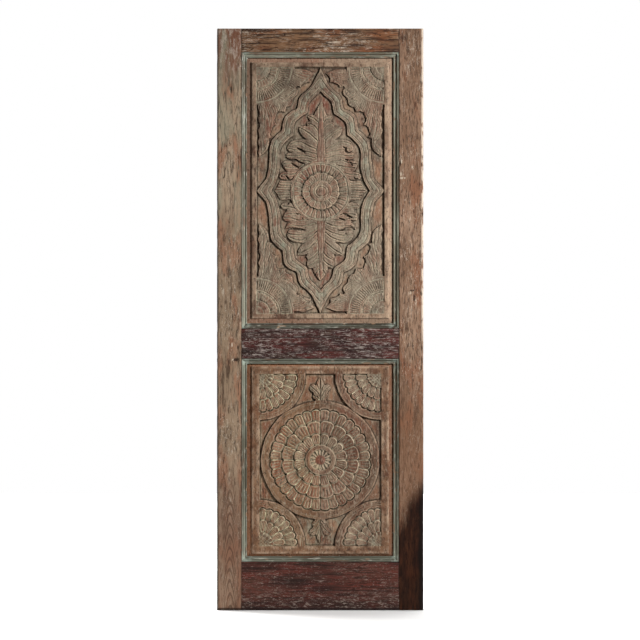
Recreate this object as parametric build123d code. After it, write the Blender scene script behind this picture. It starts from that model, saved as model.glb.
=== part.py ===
from build123d import *
import os
from math import cos, lcm, radians, sin, sqrt

# Carved two-panel door leaf. Millimetres, +Z up, +X to the right as seen from the carved
# face, which looks along -Y. The origin is the middle of the bottom edge.
# A height is measured from the middle of the leaf's thickness towards the carved face.

# Leaf: two full-height stiles with three rails tenoned between them
door_width = 760.0
door_height = 2140.0
door_thickness = 45.0
stile_width = 90.0
top_rail_height = 86.0
lock_rail_height = 110.0
lock_rail_base = 926.0
bottom_rail_height = 177.0
arris_radius = 5.0

# Joinery: through tenons driven tight by pairs of wedges, grooves for the panels
tenon_thickness = 15.0
tenon_setback = 18.0
tenon_spacing = 30.0
tenon_clearance = 0.1
wedge_thickness = 5.0
wedge_tip = 1.0
wedge_length = 60.0
groove_depth = 12.0
panel_float = 2.0
tongue_clearance = 0.25

# Panels: fielded boards with a sunk bevel, carved below the face of the field
panel_back_height = -8.0
tongue_front_height = 4.0
bevel_top_height = 9.0
field_height = 14.0
carving_depth = 8.0
upper_bevel_width = 18.0
upper_border_width = 18.0
lower_bevel_side_width = 18.0
lower_bevel_end_width = 10.0
lower_border_width = 29.0
upper_seam_offset = 11.0
lower_seam_offset = -2.0
carving_overlap = 2.0

# Planted mouldings round the panels
moulding_width = 20.0
moulding_height = 15.0
moulding_clearance = 0.3

# Relief of the carved forms above the sunk ground. Discs are left flush with the field, and
# petals are cut down into them: each slopes up from its root to its end, and from the
# valleys beside it to the crest along its middle.
leaf_relief = 6.4
midrib_relief = 7.2
band_relief = 7.2
bud_relief = 6.4
petal_root_relief = 3.8
petal_end_rise = 2.2
petal_crest_rise = 1.2

# Rosette in the middle of the upper panel: its radius as a share of the ground's half
# width, and its boss and petal tiers, from the middle outwards, as shares of its radius
rosette_share = 0.470
rosette_boss_share = 0.327
rosette_tier_shares = (0.618, 0.900)
rosette_petals = (16, 32)
midrib_width = 12.0
leaf_root_angle = 16.0

# Corner fans of the upper panel, in the same kinds of shares: petals, and a comb past a fillet
upper_fan_share = 0.585
upper_fan_heart_share = 0.365
upper_fan_end_share = 0.620
upper_fan_comb_shares = (0.660, 0.890)
upper_fan_petals = 6
upper_fan_teeth = 16

# Wheel in the middle of the lower panel, with a collar round the small flower at its heart
wheel_share = 0.978
wheel_eye_share = 0.078
wheel_heart_share = 0.183
wheel_collar_share = 0.248
wheel_tier_shares = (0.450, 0.651, 0.844)
wheel_petals = (16, 16, 32)
heart_petals = 14

# Corner fans of the lower panel, and the buds between the wheel and the border
lower_fan_share = 0.753
lower_fan_heart_share = 0.298
lower_fan_tier_shares = (0.548, 0.839)
lower_fan_petals = (4, 6)
bud_gap = 1.5
bud_half_width_share = 0.417

# How far a petal's end stands out past its valleys, as a share of the petal's width
petal_end_share = 0.28

full_turn = 360.0
quarter_turn = 90.0

# Outlines as shares of the sizes they follow: a start, then moves, which go straight to
# one point, or by an arc through the first of two points to the second.
# Medallion band, from the top tip to the side tip, in shares of its half width and height
band_outer_shares = [
    [(0.000, 1.000)],
    [(0.074, 0.919), (0.139, 0.854)],
    [(0.299, 0.777), (0.382, 0.664)],
    [(0.539, 0.615), (0.611, 0.490)],
    [(0.768, 0.417), (0.816, 0.263)],
    [(0.851, 0.121)],
    [(0.902, 0.060), (1.000, 0.000)],
]
band_inner_shares = [
    [(0.000, 0.806)],
    [(0.138, 0.737), (0.221, 0.623)],
    [(0.374, 0.567), (0.434, 0.445)],
    [(0.600, 0.372), (0.646, 0.251)],
    [(0.656, 0.154)],
    [(0.701, 0.070), (0.786, 0.000)],
]

# Acanthus leaf above the rosette, from its tip down one side to its root
acanthus_shares = [
    [(0.000, 0.733)],
    [(0.112, 0.640)],
    [(0.228, 0.588)],
    [(0.195, 0.515)],
    [(0.374, 0.523)],
    [(0.315, 0.458)],
    [(0.225, 0.426)],
    [(0.350, 0.424), (0.465, 0.395)],
    [(0.520, 0.355), (0.475, 0.312)],
    [(0.576, 0.309)],
    [(0.504, 0.254)],
    [(0.585, 0.232)],
    [(0.603, 0.192)],
    [(0.541, 0.157)],
    [(0.628, 0.118)],
    [(0.544, 0.079)],
]
midrib_end_share = 0.66

# Palmette beside the rosette, from its root to its tip
palmette_shares = [[(0.448, 0.061)], [(0.610, 0.053), (0.736, 0.000)]]

# Spandrel leaf between the band and a corner fan, along its lobed edge to its tip and
# back along the border
spandrel_shares = [
    [(0.037, 0.984)],
    [(0.140, 0.925)],
    [(0.154, 0.877)],
    [(0.275, 0.866)],
    [(0.307, 0.836)],
    [(0.394, 0.831)],
    [(0.358, 0.796)],
    [(0.447, 0.742)],
    [(0.458, 0.701)],
    [(0.540, 0.677)],
    [(0.557, 0.636)],
    [(0.680, 0.632)],
    [(0.735, 0.578)],
    [(0.693, 0.538)],
    [(0.790, 0.480)],
    [(0.765, 0.434)],
    [(0.834, 0.410)],
    [(0.827, 0.372)],
    [(0.880, 0.310)],
    [(0.973, 0.275)],
    [(0.945, 0.380)],
    [(0.975, 0.450)],
    [(0.945, 0.490)],
    [(0.975, 0.560)],
    [(0.945, 0.610)],
]

# Bud between the wheel and the border, from the wheel to its tip, in shares of its half
# width and height
bud_shares = [
    [(0.50, -0.10)],
    [(0.60, 0.25)],
    [(1.00, 0.52)],
    [(0.42, 0.60)],
    [(0.32, 0.80), (0.00, 1.00)],
]

# Section of a moulding, from the frame inwards, in shares of its width and height
moulding_shares = [
    [(0.00, 0.00)],
    [(0.00, 0.88)],
    [(0.17, 1.00), (0.34, 0.88)],
    [(0.38, 0.72)],
    [(0.52, 0.54), (0.72, 0.48)],
    [(0.76, 0.58)],
    [(0.94, 0.58)],
    [(1.00, 0.46)],
    [(1.00, 0.00)],
    [(0.00, 0.00)],
]

# Sizes that follow from the ones above
half_thickness = door_thickness / 2
opening_half_width = door_width / 2 - stile_width
rail_length = 2 * opening_half_width
top_rail_base = door_height - top_rail_height
lock_rail_top = lock_rail_base + lock_rail_height
ground_height = field_height - carving_depth
upper_opening = (lock_rail_top, top_rail_base)
lower_opening = (bottom_rail_height, lock_rail_base)
mortise_thickness = tenon_thickness + 2 * tenon_clearance
groove_front_height = tongue_front_height + tongue_clearance
groove_back_height = panel_back_height - tongue_clearance

sides = (-1, 1)
quarters = ((1, 1), (1, -1), (-1, -1), (-1, 1))


def face_plane(height, middle=0.0):
    """Plane parallel to the carved face, with its origin on the leaf's upright middle line."""
    return Plane(origin=(0, -height, middle), x_dir=(1, 0, 0), z_dir=(0, -1, 0))


def slab(half_width, half_height, back, front, middle=0.0):
    """Block between two heights, centred on the leaf's upright middle line."""
    face = face_plane(back, middle) * Rectangle(2 * half_width, 2 * half_height)
    return extrude(face, amount=front - back)


def span_box(x_span, z_span, back, front):
    """Block between two heights over a span of width and a span of the leaf's height."""
    half_width = (x_span[1] - x_span[0]) / 2
    half_height = (z_span[1] - z_span[0]) / 2
    middle = (z_span[0] + z_span[1]) / 2
    block = slab(half_width, half_height, back, front, middle)
    return Pos((x_span[0] + x_span[1]) / 2, 0, 0) * block


def outline(moves, half_width, half_height, turn=(1, 1)):
    """Edges of an outline from its shares, mirrored where a turn is negative."""
    edges = []
    at = None
    for move in moves:
        points = [(turn[0] * x * half_width, turn[1] * z * half_height) for x, z in move]
        if at and len(points) == 1:
            edges.append(Line(at, points[0]))
        elif at:
            edges.append(ThreePointArc(at, *points))
        at = points[-1]
    return edges


def lines(points):
    """Chain of straight lines through the points."""
    return [Line(start, end) for start, end in zip(points, points[1:])]


def raised(form, relief, middle):
    """Carved form that stands on the sunk ground and ends at its relief."""
    base = ground_height - carving_overlap
    placed = face_plane(base, middle) * form
    return extrude(placed, amount=relief + carving_overlap)


def polygon_face(points):
    return Face(Wire.make_polygon(points))


def flower_cut(start_radius, radii, counts, middle, span=full_turn):
    """Space above tiers of ridged petals, cut down into a disc round its uncut middle.

    A tier has an outer radius and a number of petals, and runs from the ends of the tier
    inside it. Petals meet in valleys, and stand out past the valleys at their ends. The
    flower turns from straight up to the right.
    """
    finest = lcm(*counts)
    sky = field_height + carving_overlap
    ribs = []
    for index in range(2 * finest + 1):
        angle = radians(span * index / finest) / 2
        reach = start_radius
        profile = [(reach, sky)]
        for radius, petals in zip(radii, counts):
            swell = 1 - abs(index * petals / finest % 2 - 1)
            root = ground_height + petal_root_relief + swell * petal_crest_rise
            profile.append((reach, root))
            petal_width = radius * radians(span / petals)
            reach = radius - petal_end_share * petal_width * (1 - sin(swell * radians(quarter_turn)))
            profile.append((reach, root + petal_end_rise))
        profile.append((reach, sky))
        ribs.append([(radius * sin(angle), radius * cos(angle), height) for radius, height in profile])
    faces = []
    for index, (here, there) in enumerate(zip(ribs, ribs[1:])):
        for place, ((a, b), (c, d)) in enumerate(zip(zip(here, here[1:]), zip(there, there[1:]))):
            if place % 2 == 0:
                faces.append(polygon_face([a, b, d, c]))
            elif index % 2 == 0:
                faces += [polygon_face([a, b, d]), polygon_face([a, d, c])]
            else:
                faces += [polygon_face([a, b, c]), polygon_face([b, d, c])]
        faces.append(polygon_face([here[-1], here[0], there[0], there[-1]]))
    if span < full_turn:
        faces += [polygon_face(ribs[0]), polygon_face(ribs[-1])]
    return face_plane(0, middle) * Solid(Shell(faces))


def quarter_disc(radius):
    """Quarter of a disc that opens up and to the right, run on into the border."""
    side = radius + carving_overlap
    square = Pos(side / 2 - carving_overlap, side / 2 - carving_overlap) * Rectangle(side, side)
    return Circle(radius) & square


def in_corners(forms, panel):
    """Copies of a corner's carved forms in the four corners of the panel's ground."""
    copies = []
    for index, (right, up) in enumerate(quarters):
        corner = Pos(right * panel.ground_half_width, 0, panel.middle + up * panel.ground_half_height)
        turned = corner * Rot(0, (2 + index) * quarter_turn, 0)
        copies += [turned * form for form in forms]
    return copies


class Panel:
    """Places of one panel: its opening, sight, field and sunk ground."""

    def __init__(self, opening, bevel_side, bevel_end, border):
        self.middle = (opening[0] + opening[1]) / 2
        self.opening_half_height = (opening[1] - opening[0]) / 2
        tongue = groove_depth - panel_float
        self.half_width = opening_half_width + tongue
        self.half_height = self.opening_half_height + tongue
        self.sight_half_width = opening_half_width - moulding_width
        self.sight_half_height = self.opening_half_height - moulding_width
        self.field_half_width = self.sight_half_width - bevel_side
        self.field_half_height = self.sight_half_height - bevel_end
        self.ground_half_width = self.field_half_width - border
        self.ground_half_height = self.field_half_height - border


def spread(radius, shares):
    """Radii of petal tiers from their shares of the whole flower's radius."""
    return [radius * share for share in shares]


upper = Panel(upper_opening, upper_bevel_width, upper_bevel_width, upper_border_width)
lower = Panel(lower_opening, lower_bevel_side_width, lower_bevel_end_width, lower_border_width)
rosette_radius = rosette_share * upper.ground_half_width
upper_fan_radius = upper_fan_share * upper.ground_half_width
wheel_radius = wheel_share * lower.ground_half_width
lower_fan_radius = lower_fan_share * lower.ground_half_width
bud_height = lower.ground_half_height - wheel_radius - bud_gap


def fielded_blank(panel):
    """Panel before its ornament: tongued plate, sunk bevel, raised field, sunk ground."""
    middle = panel.middle
    blank = slab(panel.half_width, panel.half_height, panel_back_height, tongue_front_height, middle)
    foot = face_plane(tongue_front_height, middle) * Rectangle(
        2 * panel.sight_half_width, 2 * panel.sight_half_height)
    head = face_plane(bevel_top_height, middle) * Rectangle(
        2 * panel.field_half_width, 2 * panel.field_half_height)
    blank += loft([foot, head])
    blank += slab(panel.field_half_width, panel.field_half_height,
                  tongue_front_height, field_height, middle)
    pocket = slab(panel.ground_half_width, panel.ground_half_height,
                  ground_height, field_height + carving_overlap, middle)
    return blank - pocket


def medallion_band(half_width, half_height):
    """Lobed and pointed band round the middle of the upper panel."""
    faces = []
    for shares in (band_outer_shares, band_inner_shares):
        edges = []
        for turn in quarters:
            edges += outline(shares, half_width, half_height, turn)
        faces.append(make_face(edges))
    return faces[0] - faces[1]


def acanthus(half_width, half_height, up):
    """Lobed leaf from the rosette's rim towards the tip of the band."""
    root_radius = rosette_radius - carving_overlap
    root_x = root_radius * cos(radians(leaf_root_angle))
    root_z = up * root_radius * sin(radians(leaf_root_angle))
    edges = [ThreePointArc((-root_x, root_z), (0, up * root_radius), (root_x, root_z))]
    for right in sides:
        side_edges = outline(acanthus_shares, half_width, half_height, (right, up))
        edges += side_edges
        edges.append(Line(side_edges[-1] @ 1, (right * root_x, root_z)))
    return make_face(edges)


def palmette(half_width, half_height, right):
    """Pointed leaf from the rosette's rim towards the side tip of the band."""
    over = outline(palmette_shares, half_width, half_height, (right, 1))
    under = outline(palmette_shares, half_width, half_height, (right, -1))
    return make_face(over + under + [Line(over[0] @ 0, under[0] @ 0)])


def spandrel(panel, half_width, half_height, turn):
    """Lobed leaf between the band and a corner fan, closed under the fan's disc."""
    right, up = turn
    edges = outline(spandrel_shares, half_width, half_height, turn)
    top = edges[0] @ 0
    side = edges[-1] @ 1
    corner_x = right * panel.ground_half_width
    corner_z = up * panel.ground_half_height
    reach = upper_fan_radius - carving_overlap
    side_z = corner_z - up * sqrt(reach ** 2 - (corner_x - side.X) ** 2)
    top_x = corner_x - right * sqrt(reach ** 2 - (corner_z - top.Y) ** 2)
    diagonal = reach / sqrt(2)
    middle = (corner_x - right * diagonal, corner_z - up * diagonal)
    edges.append(Line(side, (side.X, side_z)))
    edges.append(ThreePointArc((side.X, side_z), middle, (top_x, top.Y)))
    edges.append(Line((top_x, top.Y), top))
    return make_face(edges)


def upper_panel():
    """Upper panel: leaves and a lobed band round a rosette, with a fan in each corner."""
    middle = upper.middle
    half_width = upper.ground_half_width + carving_overlap
    half_height = upper.ground_half_height + carving_overlap
    leaves = [acanthus(half_width, half_height, up) for up in sides]
    leaves += [palmette(half_width, half_height, right) for right in sides]
    leaves += [spandrel(upper, half_width, half_height, turn) for turn in quarters]
    forms = [raised(leaf, leaf_relief, middle) for leaf in leaves]
    rib_start = rosette_radius - carving_overlap
    rib_length = midrib_end_share * half_height - rib_start
    for up in sides:
        rib = Pos(0, up * (rib_start + rib_length / 2)) * Rectangle(midrib_width, rib_length)
        forms.append(raised(rib, midrib_relief, middle))
    forms.append(raised(medallion_band(half_width, half_height), band_relief, middle))
    forms.append(raised(Circle(rosette_radius), carving_depth, middle))
    forms += in_corners([raised(quarter_disc(upper_fan_radius), carving_depth, 0)], upper)
    heart, end = spread(upper_fan_radius, (upper_fan_heart_share, upper_fan_end_share))
    comb_start, comb_end = spread(upper_fan_radius, upper_fan_comb_shares)
    fan_cuts = [
        flower_cut(heart, [end], [upper_fan_petals], 0, quarter_turn),
        flower_cut(comb_start, [comb_end], [upper_fan_teeth], 0, quarter_turn),
    ]
    boss = rosette_radius * rosette_boss_share
    tiers = spread(rosette_radius, rosette_tier_shares)
    cuts = [flower_cut(boss, tiers, rosette_petals, middle)]
    return fielded_blank(upper) + forms - cuts - in_corners(fan_cuts, upper)


def bud(up):
    """Three-lobed bud that grows from the wheel's rim towards the border."""
    edges = []
    half_width = bud_height * bud_half_width_share
    for right in sides:
        edges += outline(bud_shares, half_width, bud_height, (right, up))
    root = Line(edges[0] @ 0, edges[len(bud_shares) - 1] @ 0)
    return Pos(0, up * wheel_radius) * make_face(edges + [root])


def lower_panel():
    """Lower panel: a wheel of petals with a bud above and below, and a fan in each corner."""
    middle = lower.middle
    forms = [raised(bud(up), bud_relief, middle) for up in sides]
    forms.append(raised(Circle(wheel_radius), carving_depth, middle))
    forms += in_corners([raised(quarter_disc(lower_fan_radius), carving_depth, 0)], lower)
    heart = lower_fan_radius * lower_fan_heart_share
    fan_tiers = spread(lower_fan_radius, lower_fan_tier_shares)
    fan_cut = flower_cut(heart, fan_tiers, lower_fan_petals, 0, quarter_turn)
    eye, rim, collar = spread(wheel_radius, (wheel_eye_share, wheel_heart_share, wheel_collar_share))
    cuts = [
        flower_cut(eye, [rim], [heart_petals], middle),
        flower_cut(collar, spread(wheel_radius, wheel_tier_shares), wheel_petals, middle),
    ]
    return fielded_blank(lower) + forms - cuts - in_corners([fan_cut], lower)


def boards(panel_name, carved, seam_offset):
    """The carved panel as the two edge-joined boards it is made of."""
    seam = Plane.YZ.offset(seam_offset)
    return {
        f"{panel_name}_left_board": split(carved, bisect_by=seam, keep=Keep.BOTTOM),
        f"{panel_name}_right_board": split(carved, bisect_by=seam, keep=Keep.TOP),
    }


def tenon_spans():
    """Upright spans of the tenons of each rail; the deep bottom rail has a pair."""
    bottom_low = tenon_setback
    bottom_high = bottom_rail_height - tenon_setback
    pair_height = (bottom_high - bottom_low - tenon_spacing) / 2
    return {
        "top_rail": [(top_rail_base + tenon_setback, door_height - tenon_setback)],
        "lock_rail": [(lock_rail_base + tenon_setback, lock_rail_top - tenon_setback)],
        "bottom_rail": [(bottom_low, bottom_low + pair_height),
                        (bottom_high - pair_height, bottom_high)],
    }


def rail_spans():
    return {
        "top_rail": (top_rail_base, door_height),
        "lock_rail": (lock_rail_base, lock_rail_top),
        "bottom_rail": (0, bottom_rail_height),
    }


def wedge(side, edge, up, thickness):
    """Wedge between a tenon's edge and its mortise, thick end flush with the stile's edge."""
    outer = side * door_width / 2
    inner = outer - side * wedge_length
    edges = lines([(outer, edge), (inner, edge), (inner, edge + up * wedge_tip),
                   (outer, edge + up * wedge_thickness), (outer, edge)])
    return extrude(face_plane(-thickness / 2) * make_face(edges), amount=thickness)


def wedges_of(side, thickness):
    """All wedges in one stile, a pair for each tenon, or the pockets that take them."""
    pieces = []
    for spans in tenon_spans().values():
        for low, high in spans:
            pieces.append(wedge(side, low, -1, thickness))
            pieces.append(wedge(side, high, 1, thickness))
    return pieces


def groove(x_span, z_span):
    """Groove that takes a panel's tongue."""
    return span_box(x_span, z_span, groove_back_height, groove_front_height)


def make_stile(side):
    """Full-height stile with its mortises, panel grooves and rounded outer arrises."""
    outer = side * door_width / 2
    inner = side * opening_half_width
    x_span = (min(outer, inner), max(outer, inner))
    body = span_box(x_span, (0, door_height), -half_thickness, half_thickness)
    upright = body.edges().filter_by(Axis.Z)
    by_side = upright.sort_by(Axis.X, reverse=side > 0)
    body = fillet(by_side[:2], arris_radius)
    half = mortise_thickness / 2
    for spans in tenon_spans().values():
        for low, high in spans:
            body -= span_box(x_span, (low, high), -half, half)
    body -= wedges_of(side, mortise_thickness)
    floor = inner + side * groove_depth
    cut = (min(inner, floor), max(inner, floor))
    for opening in (upper_opening, lower_opening):
        low, high = opening
        body -= groove(cut, (low - groove_depth, high + groove_depth))
    return body


def make_rail(name):
    """Rail with its tenons and the grooves along the edges that face a panel."""
    low, high = rail_spans()[name]
    half_length = rail_length / 2
    body = span_box((-half_length, half_length), (low, high), -half_thickness, half_thickness)
    half = tenon_thickness / 2
    for span in tenon_spans()[name]:
        body += span_box((-door_width / 2, door_width / 2), span, -half, half)
    for opening in (upper_opening, lower_opening):
        reach = (opening[0] - groove_depth, opening[1] + groove_depth)
        body -= groove((-half_length, half_length), reach)
    return body


def moulding_strip(length):
    """Mitred strip along X: a bead against the frame, a cove, and a lip over the panel."""
    half_length = length / 2
    start = Plane(origin=(-half_length, 0, 0), x_dir=(0, 1, 0), z_dir=(1, 0, 0))
    section = make_face(outline(moulding_shares, moulding_width, moulding_height))
    strip = extrude(start * section, amount=length)
    for end in sides:
        mitre = Plane(origin=(end * half_length, 0, 0), z_dir=(end, 1, 0))
        strip = split(strip, bisect_by=mitre, keep=Keep.BOTTOM)
    return strip


def mouldings(panel_name, panel):
    """The four strips round one panel."""
    back = tongue_front_height + moulding_clearance
    half_height = panel.opening_half_height
    places = {
        "bottom": ((0, -back, panel.middle - half_height), (1, 0, 0), rail_length),
        "right": ((opening_half_width, -back, panel.middle), (0, 0, 1), 2 * half_height),
        "top": ((0, -back, panel.middle + half_height), (-1, 0, 0), rail_length),
        "left": ((-opening_half_width, -back, panel.middle), (0, 0, -1), 2 * half_height),
    }
    strips = {}
    for name, (origin, along, length) in places.items():
        seat = Plane(origin=origin, x_dir=along, z_dir=(0, -1, 0))
        strips[f"{panel_name}_moulding_{name}"] = seat * moulding_strip(length)
    return strips


def make_door():
    """Every piece of the leaf by name."""
    pieces = {"left_stile": make_stile(-1), "right_stile": make_stile(1)}
    for name in rail_spans():
        pieces[name] = make_rail(name)
    pieces.update(boards("upper_panel", upper_panel(), upper_seam_offset))
    pieces.update(boards("lower_panel", lower_panel(), lower_seam_offset))
    pieces.update(mouldings("upper", upper))
    pieces.update(mouldings("lower", lower))
    pieces["tenon_wedges"] = Compound(wedges_of(-1, tenon_thickness) + wedges_of(1, tenon_thickness))
    return pieces


os.makedirs("parts", exist_ok=True)
for node, piece in make_door().items():
    export_step(piece, f"parts/{node}.step")
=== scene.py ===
import math

import bmesh
import bpy
import numpy as np
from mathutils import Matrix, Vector


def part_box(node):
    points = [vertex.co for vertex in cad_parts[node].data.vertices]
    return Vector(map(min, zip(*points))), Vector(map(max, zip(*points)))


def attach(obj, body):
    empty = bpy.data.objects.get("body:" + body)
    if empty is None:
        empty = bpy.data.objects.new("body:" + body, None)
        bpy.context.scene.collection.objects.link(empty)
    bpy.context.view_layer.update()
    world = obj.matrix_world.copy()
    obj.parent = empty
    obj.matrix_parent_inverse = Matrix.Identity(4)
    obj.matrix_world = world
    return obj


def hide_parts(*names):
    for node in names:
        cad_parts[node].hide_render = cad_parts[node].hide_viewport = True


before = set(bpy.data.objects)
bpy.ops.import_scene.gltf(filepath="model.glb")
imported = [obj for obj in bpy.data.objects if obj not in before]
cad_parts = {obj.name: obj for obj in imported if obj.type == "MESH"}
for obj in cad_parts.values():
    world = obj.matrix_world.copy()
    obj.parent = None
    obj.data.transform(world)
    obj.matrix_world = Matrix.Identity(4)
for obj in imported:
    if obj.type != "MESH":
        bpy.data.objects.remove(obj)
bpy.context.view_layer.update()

MM = 0.001

# Heights on a panel, mm in front of the leaf's middle plane
GROUND = 6.0
FIELD = 14.0
TONGUE = 4.0
BEVEL_TOP = 9.0
BACK = -8.0
# below this height the carving counts as sunk ground
SUNK = 8.0

# Panels, mm: height of the middle, place of the seam, half sizes of the ground (g), the field (f) and
# the sight line (s), and the pitch of the mesh over the ground
UP = dict(name="upper_panel", z=1545.0, seam=11.0, gx=234.0, gz=453.0, fx=252.0, fz=471.0,
          sx=270.0, sz=489.0, step=1.72)
LO = dict(name="lower_panel", z=551.5, seam=-2.0, gx=223.0, gz=315.5, fx=252.0, fz=344.5,
          sx=270.0, sz=354.5, step=1.42)

# Frame, m: half the thickness of the leaf, and where the rails meet the stiles
FACE = 0.0225
SHOULDER = 0.290

TURN = 2 * math.pi


def smooth(x, a, b):
    """Zero at a, one at b, with a soft step between; a may be the larger."""
    t = np.clip((x - a) / (b - a), 0.0, 1.0)
    return t * t * (3.0 - 2.0 * t)


def groove(value, at, wide):
    """One on a cut line, falling to zero over its width."""
    return np.exp(-((value - at) / wide) ** 2)


def rounding(depth, fall, reach):
    """Drop of a rounded edge at this distance inside it."""
    return fall * np.exp(-depth / reach)


def value_noise(x, y, seed, octaves=1):
    """Smooth random field between minus one and one, the same for the same seed."""
    total = np.zeros(np.broadcast(x, y).shape)
    amp = 1.0
    for k in range(octaves):
        table = np.random.default_rng(seed + k).random((256, 256)) * 2.0 - 1.0
        xi, yi = np.floor(x).astype(int), np.floor(y).astype(int)
        fx, fy = x - xi, y - yi
        fx, fy = fx * fx * (3 - 2 * fx), fy * fy * (3 - 2 * fy)
        a = table[xi % 256, yi % 256]
        b = table[(xi + 1) % 256, yi % 256]
        c = table[xi % 256, (yi + 1) % 256]
        d = table[(xi + 1) % 256, (yi + 1) % 256]
        total += amp * ((a * (1 - fx) + b * fx) * (1 - fy) + (c * (1 - fx) + d * fx) * fy)
        x, y, amp = x * 2.03 + 17.1, y * 2.03 + 5.3, amp * 0.5
    return total


def curve(points, parts=5, corner=52.0):
    """A smooth line through the points that keeps corners sharper than this many degrees."""
    p = np.array(points, float)
    out = [p[0]]
    turn = np.zeros(len(p))
    for i in range(1, len(p) - 1):
        a, b = p[i] - p[i - 1], p[i + 1] - p[i]
        c = np.dot(a, b) / (np.linalg.norm(a) * np.linalg.norm(b) + 1e-9)
        turn[i] = math.degrees(math.acos(max(-1.0, min(1.0, c))))
    for i in range(len(p) - 1):
        p0 = p[i - 1] if i > 0 and turn[i] < corner else p[i]
        p3 = p[i + 2] if i + 2 < len(p) and turn[i + 1] < corner else p[i + 1]
        for k in range(1, parts + 1):
            t = k / parts
            out.append(0.5 * (2 * p[i] + (p[i + 1] - p0) * t
                              + (2 * p0 - 5 * p[i] + 4 * p[i + 1] - p3) * t * t
                              + (3 * p[i] - p0 - 3 * p[i + 1] + p3) * t ** 3))
    return np.array(out)


def line_distance(x, z, line):
    """Distance to the line, and how far along it the nearest place is."""
    best = np.full(x.shape, 1e9)
    along = np.zeros(x.shape)
    run = 0.0
    for (ax, az), (bx, bz) in zip(line[:-1], line[1:]):
        dx, dz = bx - ax, bz - az
        length = math.hypot(dx, dz)
        if length < 1e-9:
            continue
        t = np.clip(((x - ax) * dx + (z - az) * dz) / (length * length), 0.0, 1.0)
        d = np.hypot(x - ax - t * dx, z - az - t * dz)
        near = d < best
        best = np.where(near, d, best)
        along = np.where(near, run + t * length, along)
        run += length
    return best, along


def inside(x, z, line):
    odd = np.zeros(x.shape, bool)
    for (ax, az), (bx, bz) in zip(line, np.roll(line, -1, axis=0)):
        cross = (az > z) != (bz > z)
        if az != bz:
            odd ^= cross & (x < (bx - ax) * (z - az) / (bz - az) + ax)
    return odd


def depth_in(x, z, line):
    """Distance to the closed outline, above zero inside it."""
    shut = np.vstack([line, line[:1]])
    d, _ = line_distance(x, z, shut)
    return np.where(inside(x, z, line), d, -d)


def near_box(x, z, points, pad):
    lo, hi = np.min(points, axis=0) - pad, np.max(points, axis=0) + pad
    return (x > lo[0]) & (x < hi[0]) & (z > lo[1]) & (z < hi[1])


def leaf_depth(x, z, line):
    """Depth inside a leaf's outline, measured only near it."""
    out = np.full(x.shape, -50.0)
    pick = near_box(x, z, line, 6.0)
    out[pick] = depth_in(x[pick], z[pick], line)
    return out


def veins_distance(x, z, veins):
    """Distance to the nearest vein, measured only near them."""
    out = np.full(x.shape, 99.0)
    for vein in veins:
        line = curve(vein)
        pick = near_box(x, z, line, 40.0)
        out[pick] = np.minimum(out[pick], line_distance(x[pick], z[pick], line)[0])
    return out


def pockets_distance(x, z, cuts):
    """Distance to the edge of the nearest cut, which is widest at its middle and narrow at its ends."""
    out = np.full(x.shape, 99.0)
    for cut in cuts:
        line = curve(cut)
        pick = near_box(x, z, line, 8.0)
        d, along = line_distance(x[pick], z[pick], line)
        length = np.hypot(*np.diff(line, axis=0).T).sum()
        half = 1.0 + min(2.4, 0.09 * length) * np.sin(math.pi * along / length)
        out[pick] = np.minimum(out[pick], d - half)
    return out


def blur(field, reach):
    taps = np.exp(-0.5 * (np.arange(-3 * reach, 3 * reach + 1) / reach) ** 2)
    taps /= taps.sum()
    n = 3 * reach
    for axis in (0, 1):
        wide = np.pad(field, [(n, n) if k == axis else (0, 0) for k in (0, 1)], mode="edge")
        size = field.shape[axis]
        field = sum(t * np.take(wide, np.arange(i, i + size), axis=axis) for i, t in enumerate(taps))
    return field


# Carved outlines, mm from a panel's middle
BAND_OUT = [(0, 454), (6, 440), (19, 414), (32, 388), (50, 368), (69, 353), (80, 336), (83, 318),
    (88, 301), (105, 294), (122, 281), (131, 270), (136, 252), (139, 233), (141, 222), (153, 213),
    (168, 198), (179, 185), (185, 163), (187, 141), (188, 119), (190, 93), (194, 68), (198, 46),
    (207, 33), (220, 18), (234, 0)]
BAND_IN = [(0, 366), (18, 347), (35, 333), (44, 314), (47, 292), (51, 283), (66, 274), (81, 263),
    (92, 252), (97, 233), (98, 215), (100, 202), (114, 193), (128, 180), (139, 167), (147, 149),
    (150, 127), (149, 104), (150, 82), (154, 60), (160, 38), (171, 16), (181, 0)]
UPPER_LEAF = [(0, 325), (10, 306), (24, 277), (43, 277), (48, 270), (39, 256), (50, 248), (49, 236),
    (62, 238), (79, 234), (81, 222), (76, 207), (67, 196), (55, 188), (78, 188), (103, 183), (117, 171),
    (122, 158), (118, 146), (106, 140), (118, 138), (128, 131), (125, 119), (110, 112), (93, 113),
    (112, 109), (130, 109), (138, 103), (137, 90), (129, 77), (121, 69), (134, 67), (146, 61),
    (149, 51), (144, 42), (128, 40), (110, 41), (98, 50), (88, 62), (70, 84), (40, 100), (0, 106)]
LOWER_LEAF = [(0, 333), (13, 319), (25, 297), (26, 287), (40, 287), (46, 280), (49, 266), (47, 252),
    (53, 243), (48, 233), (60, 237), (83, 237), (81, 219), (72, 205), (59, 193), (91, 192), (105, 187),
    (117, 178), (122, 165), (120, 153), (113, 147), (90, 147), (62, 146), (90, 143), (105, 139),
    (118, 141), (131, 144), (127, 131), (120, 122), (112, 117), (127, 114), (135, 110), (138, 100),
    (135, 87), (125, 77), (124, 70), (133, 70), (142, 65), (146, 55), (138, 48), (122, 45), (108, 46),
    (92, 62), (70, 84), (40, 100), (0, 106)]
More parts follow.
